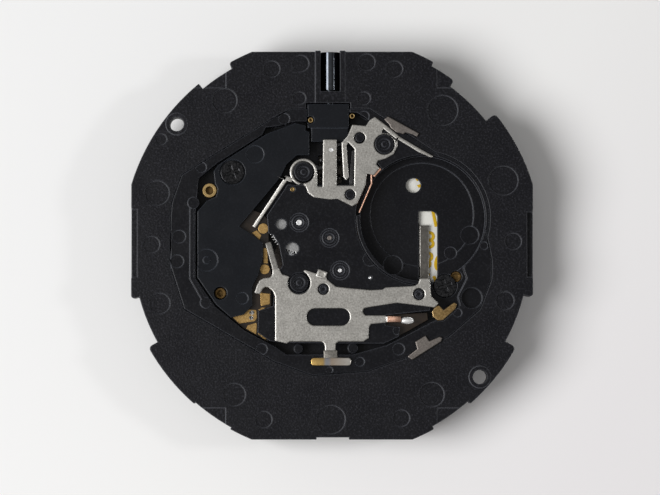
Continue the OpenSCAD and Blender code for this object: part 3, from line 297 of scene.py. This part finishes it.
def nickel_finish():
    stamped_edge = 0.12 * mm
    finish = new_finish("nickel", 1.0, 0.45)
    tint(finish, noise(finish, speckle_scale, 2), (0.35, 0.335, 0.31), (0.55, 0.535, 0.5), 0.3, 0.7)
    # Painted shade on the nickel below 2.35 mm, darkest at the floor of the well.
    darker_below(finish, 0.4 * mm, 2.35 * mm,
                 [(0, (0.2, 0.19, 0.18)), (0.5, (0.75, 0.74, 0.73)), (1, (1, 1, 1))])
    uneven_gloss(finish, noise(finish, sheen_scale, 4), 0.34, 0.44)
    relief(finish, noise(finish, 6500, 3), 0.006 * mm, stamped_edge)
    # Painted highlight: near every edge the nickel's colour is lightened to near white.
    lighter_edges(finish, stamped_edge, (0.97, 0.95, 0.91))
    return finish


finishes["nickel"] = nickel_finish()
finishes["copper"] = metal("copper", (0.72, 0.4, 0.27), (0.92, 0.6, 0.46), 0.4, 0.5,
                           depth=0.001 * mm)
finishes["gold"] = metal("gold", (0.36, 0.22, 0.075), (0.58, 0.38, 0.15), 0.28, 0.45)
finishes["brass"] = metal("brass", (0.28, 0.19, 0.075), (0.44, 0.31, 0.14), 0.4, 0.55)
# Painted shade on the brass bushes that sit deep in the plastic, below 1.84 mm.
darker_below(finishes["brass"], 1.76 * mm, 1.84 * mm, [(0, (0.34, 0.3, 0.26)), (1, (1, 1, 1))])
finishes["steel"] = metal("polished steel", (0.5, 0.51, 0.53), (0.66, 0.67, 0.69), 0.16, 0.28,
                          2500, 0.002 * mm, (1, 0.1, 1), 3000)
finishes["dark_steel"] = metal("blackened steel", (0.012, 0.0125, 0.014), (0.06, 0.06, 0.063),
                               0.1, 0.2, 1800, 0.05 * mm)
finishes["soft_iron"] = metal("annealed iron", (0.035, 0.03, 0.028), (0.08, 0.07, 0.062),
                              0.4, 0.55)
# Painted shade: the keyless levers' steel is made dark for the shade of their channel.
lever_steel_in_painted_shade = metal("lever steel in painted shade", (0.07, 0.07, 0.072), (0.13, 0.13, 0.132), 0.3, 0.42)
# Painted shade: the fifth wheel's steel is darker for the shade in the bridge's holes; a painted
# highlight lightens its edges and teeth.
wheel_steel_in_painted_shade = metal("wheel steel", (0.34, 0.34, 0.34), (0.5, 0.5, 0.5), 0.3, 0.45)
lighter_edges(wheel_steel_in_painted_shade, 0.05 * mm, (0.95, 0.95, 0.93))
# Painted shade: the stem's steel is made dark for the shade of its channel.
stem_steel_in_painted_shade = metal("stem steel", (0.06, 0.066, 0.076), (0.085, 0.093, 0.105), 0.07, 0.12,
                   2500, 0.001 * mm, (1, 0.1, 1), 3000)
hook_nickel = metal("hook nickel", (0.17, 0.15, 0.138), (0.26, 0.235, 0.215), 0.36, 0.46)
# The earth contact's gold is darker than the other gold, and a painted highlight lightens its edges.
contact_gold_painted_edges = metal("darker contact gold", (0.22, 0.14, 0.055), (0.42, 0.28, 0.12), 0.3, 0.42)
lighter_edges(contact_gold_painted_edges, 0.08 * mm, (0.8, 0.66, 0.45))
print("metals", sorted(set(finishes)))


# %% [markdown]
# ## Wire, circuit board and yellow print
# The coil is wound from enamelled wire, so its finish has ridges round the bobbin's axis, which
# is X. The circuit board is brown laminate, so dark that it shows mostly as a gap between the
# covers. The date figures are printed in yellow. Solder is paler than bare metal, so it is only
# partly metallic.

# %% Wire, board and print finishes
def wire_finish():
    finish = new_finish("enamelled wire", 1.0, 0.3)
    nodes, links = finish.node_tree.nodes, finish.node_tree.links
    turns = nodes.new("ShaderNodeTexWave")
    turns.inputs["Scale"].default_value = 6000
    turns.inputs["Distortion"].default_value = 0.4
    links.new(stretched_place(finish, (1, 1, 1)), turns.inputs["Vector"])
    tint(finish, turns.outputs["Fac"], (0.2, 0.06, 0.02), (0.45, 0.17, 0.07), 0.1, 0.8)
    relief(finish, turns.outputs["Fac"], 0.02 * mm)
    return finish


def board_finish():
    finish = new_finish("circuit board", 0.0, 0.3, specular=0.4)
    tint(finish, noise(finish, 900, 4), (0.007, 0.0045, 0.003), (0.026, 0.0155, 0.0085))
    relief(finish, noise(finish, 4200, 2, (1, 0.2, 1)), 0.004 * mm)
    return finish


finishes["copper_wire"] = wire_finish()
finishes["board"] = board_finish()
yellow_print = plastic("yellow print", (0.62, 0.38, 0.006), (0.76, 0.5, 0.012), 0.4, 0.3,
                       2500, 0.002 * mm)
solder_tin = metal("solder", (0.86, 0.86, 0.85), (0.97, 0.97, 0.96), 0.3, 0.4, 2600, 0.004 * mm)
shader_of(solder_tin).inputs["Metallic"].default_value = 0.4
print("finishes", sorted(finishes), yellow_print.name, solder_tin.name)


# %% [markdown]
# ## Finishes onto the solids
# The record says which finish each solid has, so one loop dresses all of them. The stem, the
# keyless levers and the fifth wheel lie in the shade of their channels and holes, and that shade is
# painted into their steel, which is darker than the pivots'. The hooks and the earth contact have
# their own darker finishes, and the earth contact's edges carry a painted highlight.

# %% Dress the solids
# The steel finishes given here carry painted shade; the earth contact's carries a painted edge
# highlight.
own_finish = {"stem": stem_steel_in_painted_shade, "fifth_wheel": wheel_steel_in_painted_shade, "ring_hooks": hook_nickel,
              "earth_contact": contact_gold_painted_edges}
for node in ("clutch_wheel", "setting_lever", "yoke", "reset_lever"):
    own_finish[node] = lever_steel_in_painted_shade
for part in record["subparts"]:
    solid = bpy.data.objects[part["node"]]
    for place in solid.material_slots:
        place.material = own_finish.get(part["node"], finishes[part["material_slot"]])
    print(part["node"], solid.material_slots[0].material.name)


# %% [markdown]
# ## Rounded edges
# No real edge is perfectly sharp. A punched spring has a rolled burr that catches the light as a
# thin bright line, and a moulding's corners are a few hundredths of a millimetre round. The solid
# itself is never changed: a copy is welded into one skin and the bevel is applied to the copy,
# which then stands for the solid. Only outer corners get a bevel, and each gets no more than the
# face beside it has room for, so the shallow moulding marks stay.

# %% Helpers for picking and copying
nearly_flat = math.radians(0.5)


def alone(thing):
    bpy.ops.object.select_all(action="DESELECT")
    thing.select_set(True)
    bpy.context.view_layer.objects.active = thing


def edit_all(piece):
    alone(piece)
    bpy.ops.object.mode_set(mode="EDIT")
    bpy.ops.mesh.select_all(action="SELECT")


def leave_edit():
    bpy.ops.object.mode_set(mode="OBJECT")


def welded_copy(node):
    solid = bpy.data.objects[node]
    solid.hide_set(False)
    alone(solid)
    bpy.ops.object.duplicate()
    piece = bpy.context.object
    piece.name = node + "_rounded"
    bpy.ops.object.parent_clear(type="CLEAR_KEEP_TRANSFORM")
    edit_all(piece)
    bpy.ops.mesh.remove_doubles(threshold=0.0001 * mm)
    bpy.ops.mesh.dissolve_limited(angle_limit=nearly_flat)
    leave_edit()
    return piece


def pick(piece, kind, wanted):
    parts = {"VERT": piece.data.vertices, "EDGE": piece.data.edges, "FACE": piece.data.polygons}
    bpy.ops.object.mode_set(mode="EDIT")
    bpy.ops.mesh.select_mode(type=kind)
    bpy.ops.mesh.select_all(action="DESELECT")
    leave_edit()
    chosen = [part for part in parts[kind] if wanted(part)]
    for part in chosen:
        part.select = True
    bpy.ops.object.mode_set(mode="EDIT")
    return len(chosen)


# %% [markdown]
# ## How wide each edge may be rounded
# A bevel that is wider than the face beside it folds over. So each outer edge gets a weight
# between 0 and 1: the share of the full width that the narrower of its two faces has room for.
# Only real corners count, so the facets of a curved wall keep their edges. The skin is cut into
# triangles first, because a face with many corners can be filled wrongly after a bevel.

# %% Helpers for rounding
def weigh_corners(piece, width, weight_of):
    skin = bmesh.new()
    skin.from_mesh(piece.data)
    layers = skin.edges.layers.float
    weight = layers.get("bevel_weight_edge") or layers.new("bevel_weight_edge")
    for edge in skin.edges:
        outer = len(edge.link_faces) == 2 and edge.is_convex
        edge[weight] = weight_of(edge, width) if outer else 0.0
    marked = sum(edge[weight] > 0 for edge in skin.edges)
    skin.to_mesh(piece.data)
    skin.free()
    return marked


def share_of_width(edge, width, share):
    room = min(face.calc_area() for face in edge.link_faces) / edge.calc_length()
    return min(1.0, share * room / width)


def sharp_corner(edge, width):
    if edge.calc_face_angle() < math.radians(50):
        return 0.0
    return share_of_width(edge, width, 0.4)


def in_triangles(piece):
    edit_all(piece)
    bpy.ops.mesh.quads_convert_to_tris(quad_method="BEAUTY", ngon_method="BEAUTY")
    leave_edit()


def bevel_by_weight(piece, width, segments):
    alone(piece)
    bevel = piece.modifiers.new("rounded edges", "BEVEL")
    bevel.limit_method = "WEIGHT"
    bevel.width = width
    bevel.segments = segments
    bevel.loop_slide = False
    bevel.use_clamp_overlap = False
    bpy.ops.object.modifier_apply(modifier=bevel.name)


def stand_in(piece, node):
    alone(piece)
    bpy.ops.object.shade_smooth_by_angle(angle=math.radians(12))
    pick(piece, "FACE", lambda face: abs(face.normal.z) > 0.97)
    bpy.ops.mesh.faces_shade_flat()
    leave_edit()
    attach(piece, body_of[node])
    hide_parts(node)
    print(piece.name, len(piece.data.polygons), "faces")


def round_edges(piece, node, width, segments=2):
    print(weigh_corners(piece, width, sharp_corner), "corners of", node)
    in_triangles(piece)
    bevel_by_weight(piece, width, segments)
    stand_in(piece, node)


# %% [markdown]
# ## The casing ring
# The ring's lobes were milled into its mould with a round cutter, so their outer corners have a
# radius of nearly half a millimetre. Those tall upright edges are rounded first, each by no more
# than its step allows. The rails beside the stem keep their square corners, and so do the low
# steps of the moulding marks. The ordinary thin bevel follows.

# %% Casing ring
ring = welded_copy("casing_ring")
ring_centre = (0.2 * mm, -0.57 * mm)
lobe_radius = 0.4 * mm
lobe_reach = 14.6 * mm
mark_height = 0.3 * mm
stem_rail = 2.2 * mm
moulded_bevel = 0.05 * mm


def lobe_corner(edge, width):
    a, b = edge.verts
    height = abs(a.co.z - b.co.z)
    middle = (a.co + b.co) / 2
    out = math.hypot(middle.x - ring_centre[0], middle.y - ring_centre[1])
    upright = height > mark_height and height > 0.9 * edge.calc_length()
    on_lobe = out >= lobe_reach and abs(middle.x) >= stem_rail
    if not upright or not on_lobe or edge.calc_face_angle() < math.radians(25):
        return 0.0
    return share_of_width(edge, width, 0.45)


print(weigh_corners(ring, lobe_radius, lobe_corner), "lobe corners")
bevel_by_weight(ring, lobe_radius, 4)
edit_all(ring)
bpy.ops.mesh.dissolve_limited(angle_limit=nearly_flat)
leave_edit()
round_edges(ring, "casing_ring", moulded_bevel)


# %% [markdown]
# ## The train bridge
# The bridge's left edge bulges farther out than the construction model has it and then steps in,
# so that only four or five teeth of the fifth wheel show. In the copy two cuts give the edge new
# corners, and each corner is picked by its place and moved before the edges are rounded.

# %% Train bridge
bridge = welded_copy("train_bridge")
cuts = (0.16, -0.55)
edge_moves = {(-4.5, 1.6): (-4.83, 1.75), (-4.25, 0.3): (-4.72, 0.36),
              (-4.21, 0.16): (-4.32, 0.2), (-4.02, -0.55): (-3.9, -0.55)}


def near(vertex, place, reach):
    return math.dist((vertex.co.x / mm, vertex.co.y / mm), place) < reach


for cut in cuts:
    edit_all(bridge)
    bpy.ops.mesh.bisect(plane_co=(0, cut * mm, 0), plane_no=(0, 1, 0))
    leave_edit()
for corner, target in edge_moves.items():
    moved = pick(bridge, "VERT", lambda vertex: near(vertex, corner, 0.05))
    bpy.ops.transform.translate(value=((target[0] - corner[0]) * mm,
                                       (target[1] - corner[1]) * mm, 0))
    leave_edit()
    print(moved, "vertices moved at", corner)
round_edges(bridge, "train_bridge", 0.03 * mm, 1)


# %% [markdown]
# ## The other mouldings, the sheet metal and the screws
# The rest need no change of form. Sheet metal has the widest bevel for its thickness, because
# its burr was tumbled off.

# %% Round the rest
for node in ("main_plate", "circuit_cover", "stem_block"):
    round_edges(welded_copy(node), node, moulded_bevel)
for node in ("upper_spring_plate", "lower_spring_plate", "ring_hooks", "earth_contact"):
    round_edges(welded_copy(node), node, 0.06 * mm, 3)
for node in ("side_contact", "cover_screw", "well_screw", "brass_bushes"):
    round_edges(welded_copy(node), node, 0.03 * mm)


# %% [markdown]
# ## Pivot tips
# Each arbor ends in a turned and burnished tip with a small oil sink in its middle. A short disc
# stands over the arbor's end: its face is inset and pushed in for the sink, and its rim is
# bevelled. The record gives each arbor's place, and the tip rides with its arbor. The spot weld on
# the upper plate's prong is made the same way, and sits on the prong's own top.

# %% Pivot tips
def settle(piece, name, body, finish):
    alone(piece)
    piece.name = name
    bpy.ops.object.transform_apply(location=True, rotation=True, scale=True)
    piece.data.materials.clear()
    piece.data.materials.append(finish)
    bpy.ops.object.shade_smooth_by_angle(angle=math.radians(40))
    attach(piece, body)
    print(name, len(piece.data.polygons), "faces, rides", body)


def soften(piece, width, segments=3):
    alone(piece)
    bpy.ops.object.transform_apply(location=True, rotation=True, scale=True)
    bevel = piece.modifiers.new("soft rim", "BEVEL")
    bevel.limit_method = "ANGLE"
    bevel.angle_limit = math.radians(40)
    bevel.width = width
    bevel.segments = segments
    bpy.ops.object.modifier_apply(modifier=bevel.name)


def faces_up(face):
    return face.normal.z > 0.9


def pivot_tip(name, place, radius, bottom, top, body, finish):
    middle = (*place, (bottom + top) / 2)
    bpy.ops.mesh.primitive_cylinder_add(vertices=32, radius=radius * mm, depth=(top - bottom) * mm,
                                        location=[part * mm for part in middle])
    tip = bpy.context.object
    pick(tip, "FACE", faces_up)
    bpy.ops.mesh.inset(thickness=0.5 * radius * mm)
    bpy.ops.transform.translate(value=(0, 0, -0.3 * (top - bottom) * mm))
    leave_edit()
    soften(tip, 0.25 * (top - bottom) * mm)
    settle(tip, name, body, finish)


tip_bottom = 2.3
tip_top = 2.345
guide_pin_place = (3.13, -3.07)
arbor_place = {joint["child"]: [part / mm for part in joint["pos_m"][:2]]
               for joint in record["behaviour"]["joints"] if joint["type"] == "hinge"}
bright_steel = metal("burnished steel", (0.8, 0.8, 0.8), (0.9, 0.9, 0.9), 0.4, 0.5)
for name, body, radius, finish in (("fifth_pivot_tip", "fifth", 0.22, bright_steel),
                                   ("third_pivot_tip", "third", 0.15, bright_steel),
                                   ("centre_pivot_tip", "fourth", 0.17, hook_nickel)):
    pivot_tip(name, arbor_place[body], radius, tip_bottom, tip_top, body, finish)
pivot_tip("guide_pin_tip", guide_pin_place, 0.085, tip_bottom, 2.36, "movement", bright_steel)

# %% Prong weld
prong_place = (0.15, 6.79)
plate = bpy.data.objects["upper_spring_plate_rounded"].data
prong = [vertex.co for vertex in plate.vertices if near(vertex, prong_place, 1.5)]
prong_top = max(corner.z for corner in prong) / mm
print("prong top", round(prong_top, 3))
pivot_tip("prong_weld", prong_place, 0.16, prong_top - 0.02, prong_top + 0.03, "movement",
          bright_steel)


# %% [markdown]
# ## The foot of the lower spring plate
# The plate ends in a T. Its bar carries a gilded contact that is gold at the left and worn to
# bare nickel at the right, and the neck is bent down just below the plate. The shade of that bend
# is painted as a dark line: the neck is a darker nickel bar. Both are flat bars: a block whose
# upright edges are bevelled in edit mode.

# %% Gilded contact and bent neck
def block(middle, size, turn=(0, 0, 0)):
    bpy.ops.mesh.primitive_cube_add(size=1, location=[part * mm for part in middle])
    piece = bpy.context.object
    piece.scale = [part * mm for part in size]
    piece.rotation_euler = turn
    bpy.ops.object.transform_apply(location=True, rotation=True, scale=True)
    return piece


def flat_bar(x, y, z, corner):
    bar = block([sum(span) / 2 for span in (x, y, z)], [high - low for low, high in (x, y, z)])
    heights = [vertex.co.z for vertex in bar.data.vertices]

    def upright(edge):
        start, end = edge.vertices
        return abs(heights[start] - heights[end]) > 0.001 * mm

    pick(bar, "EDGE", upright)
    bpy.ops.mesh.bevel(offset=corner * mm, segments=5, affect="EDGES")
    leave_edit()
    return bar


def worn_gold():
    finish = new_finish("rubbed gilding", 1.0, 0.3)
    along_bar = place_along(finish, (1, 0, 0), -1.4 * mm, 1.64 * mm)
    paint(finish, ramp(finish, along_bar, [
        (0.05, (0.58, 0.38, 0.13)), (0.3, (0.5, 0.34, 0.13)), (0.37, (0.36, 0.37, 0.39)),
        (0.44, (0.38, 0.37, 0.38)), (0.52, (0.52, 0.42, 0.33)), (0.95, (0.8, 0.76, 0.7))]))
    relief(finish, noise(finish, 2500, 3), 0.01 * mm)
    return finish


sheet_edge = 0.03 * mm
contact = flat_bar(x=(-1.42, 1.66), y=(-9.84, -9.25), z=(2.44, 2.57), corner=0.22)
soften(contact, sheet_edge)
settle(contact, "gilded_contact", "movement", worn_gold())
# Painted shade: the neck's nickel is darker than the plate's, for the shade where it bends down.
neck_nickel_in_painted_shade = metal("neck nickel in painted shade", (0.2, 0.19, 0.17), (0.33, 0.31, 0.28), 0.35, 0.5)
neck = flat_bar(x=(-0.44, 0.6), y=(-9.28, -8.66), z=(2.45, 2.545), corner=0.06)
soften(neck, sheet_edge)
settle(neck, "bent_neck", "movement", neck_nickel_in_painted_shade)


# %% [markdown]
# ## The sunk finger and the coil's solder joint
# To the right of the coil the plate's finger dips down to the lead board. Its slope is bare copper
# colour, and beside it the winding's end is held by an oval blob of bright solder. Two smaller
# blobs sit on contact pads at the left. Each is a flattened ball, bisected at its seat, and the one
# on the lead board is drawn out at one end, as molten tin is. Bisect counts every corner within a
# tenth of a millimetre as lying on the cut, which is coarse for blobs this small: faces are left
# below the cut, and the mesh has open edges there.

# %% Copper skin of the finger
slope_run = 1.11
slope_drop = 0.67
skin = block(middle=(4.995, -6.26, 2.182), size=(1.22, 0.46, 0.03),
             turn=(0, math.atan2(slope_drop, slope_run), 0))
soften(skin, 0.012 * mm, 2)
settle(skin, "copper_skin", "movement", finishes["copper"])


# %% Solder blobs
def solder_blob(name, place, size, turn=0, drawn=0):
    bpy.ops.mesh.primitive_uv_sphere_add(segments=32, ring_count=16, radius=1,
                                         location=[part * mm for part in place])
    blob = bpy.context.object
    blob.scale = [part * mm for part in size]
    blob.rotation_euler = (0, 0, math.radians(turn))
    bpy.ops.object.transform_apply(location=True, rotation=True, scale=True)
    edit_all(blob)
    bpy.ops.mesh.bisect(plane_co=(0, 0, place[2] * mm), plane_no=(0, 0, 1), use_fill=True,
                        clear_inner=True)
    leave_edit()
    drawn_from = (place[0] + 0.55 * size[0]) * mm
    pick(blob, "VERT", lambda vertex: vertex.co.x > drawn_from)
    bpy.ops.transform.translate(value=(drawn * mm, 0, 0))
    leave_edit()
    settle(blob, name, "movement", solder_tin)


pad_seat = 1.725
solder_blob("lead_solder", (5.98, -6.36, 1.615), (0.54, 0.27, 0.22), drawn=0.03)
solder_blob("pad_solder_upper", (-6.0, -5.75, pad_seat), (0.2, 0.17, 0.1), turn=20)
solder_blob("pad_solder_lower", (-6.05, -6.15, pad_seat), (0.18, 0.16, 0.1), turn=-15)


# %% [markdown]
# ## The folded loop
# Next to the middle post a tongue of the spring plate is folded into a small loop. It is a block,
# turned by twenty degrees, with its top inset and pushed down.

# %% Folded loop
loop_wall = 0.17 * mm
loop_depth = 0.14 * mm
loop = block(middle=(-0.61, -2.81, 2.49), size=(0.76, 0.6, 0.2), turn=(0, 0, math.radians(-20)))
pick(loop, "FACE", faces_up)
bpy.ops.mesh.inset(thickness=loop_wall)
bpy.ops.mesh.extrude_region_move(TRANSFORM_OT_translate={"value": (0, 0, -loop_depth)})
leave_edit()
soften(loop, 0.04 * mm)
settle(loop, "folded_loop", "movement", finishes["nickel"])


# %% [markdown]
# ## Date figures
# The date disc is printed with the numbers 1 to 31, which pass the dial's window one by one.
# Each figure is a text object, thickened and pushed just through both faces of the disc, made
# into a mesh, laid along its own radius so that it reads from the dial side, and joined to the
# others. The ink is yellow and shows through the openings of the well's floor.

# %% Date figures
days = 31
figure_circle = 8.3 * mm
figure_size = 1.85 * mm
disc_middle = 0.25 * mm
just_past_face = 0.086 * mm


def date_figure(number):
    angle = math.radians(360 / days * number)
    bpy.ops.object.text_add(location=(figure_circle * math.cos(angle),
                                      figure_circle * math.sin(angle), disc_middle))
    figure = bpy.context.object
    text = figure.data
    text.body = str(number)
    text.size = figure_size
    text.align_x = "CENTER"
    text.align_y = "CENTER"
    text.offset = 0.035 * mm
    text.extrude = just_past_face
    text.resolution_u = 4
    figure.rotation_euler = (math.pi, 0, angle)
    bpy.ops.object.convert(target="MESH")
    bpy.ops.object.transform_apply(location=True, rotation=True, scale=True)
    return bpy.context.object


figures = [date_figure(number) for number in range(1, days + 1)]
alone(figures[0])
for figure in figures:
    figure.select_set(True)
bpy.ops.object.join()
settle(bpy.context.object, "date_figures", "date", yellow_print)


# %% [markdown]
# ## Floor, light and camera
# The movement lies face down on pale paper. A soft lamp from the left draws the thin bright lines
# on every edge that faces it, and a wide one overhead, behind the camera, fills the nickel's flat
# faces. A small weak lamp at the right gives the stem its long streak. Shade is painted into the
# paper: its colour grows greyer towards the lower right. The camera looks almost straight down, and
# its frame is 51 mm wide.

# %% Floor
bpy.ops.object.select_all(action="DESELECT")
floor_z = cad_box[0][2]
bpy.ops.mesh.primitive_plane_add(size=1.2, location=(0, 0, floor_z))
floor = bpy.context.object
floor.name = "paper"
bpy.ops.object.transform_apply(location=True)
paper = new_finish("paper", 0.0, 0.9, specular=0.1)
# Painted shade: the paper's colour is a ramp, a little lighter in the middle and greyer at the lower
# right.
painted_shade_across_paper = place_along(paper, (0.8, -0.6, 0), -20 * mm, 26 * mm)
paint(paper, ramp(paper, painted_shade_across_paper, [(0, (0.9, 0.9, 0.9)), (0.55, (0.92, 0.915, 0.91)),
                                          (1, (0.88, 0.86, 0.87))]))
floor.data.materials.append(paper)
print("floor at", floor_z)

# %% World
world = bpy.data.worlds.new("studio")
bpy.context.scene.world = world
world.use_nodes = True
background = world.node_tree.nodes["Background"].inputs
background["Color"].default_value = (1, 0.99, 0.97, 1)
background["Strength"].default_value = 0.2
print("world", world.name)


# %% Lamps
def soft_lamp(name, azimuth, height, distance, size, watts):
    light = bpy.data.lights.new(name, "AREA")
    light.shape = "DISK"
    light.size = size
    light.energy = watts
    lamp = bpy.data.objects.new(name, light)
    bpy.context.collection.objects.link(lamp)
    turn, rise = math.radians(azimuth), math.radians(height)
    lamp.location = (distance * math.cos(rise) * math.cos(turn),
                     distance * math.cos(rise) * math.sin(turn), distance * math.sin(rise))
    lamp.rotation_euler = (math.pi / 2 - rise, 0, turn + math.pi / 2)
    print(name, watts, "watts")


soft_lamp("key", azimuth=190, height=50, distance=0.38, size=0.26, watts=1.35)
soft_lamp("overhead", azimuth=120, height=87, distance=0.45, size=0.3, watts=0.05)
soft_lamp("stem light", azimuth=4, height=40, distance=0.35, size=0.05, watts=0.13)

# %% Camera
photo_width = 50.9 * mm
photo_centre = (0.04 * mm, -0.74 * mm, 2.35 * mm)
distance = 0.3
elevation = math.radians(88)
sensor_width = 36
camera_data = bpy.data.cameras.new("copy stand")
camera_data.sensor_width = sensor_width
camera_data.lens = sensor_width * distance / photo_width
camera_data.clip_start = 0.01
camera = bpy.data.objects.new("copy stand", camera_data)
bpy.context.collection.objects.link(camera)
camera.location = (photo_centre[0], photo_centre[1] - distance * math.cos(elevation),
                   photo_centre[2] + distance * math.sin(elevation))
camera.rotation_euler = (math.pi / 2 - elevation, 0, 0)
bpy.context.scene.camera = camera
bpy.context.scene.view_settings.view_transform = "Standard"
print("lens", round(camera_data.lens, 1))
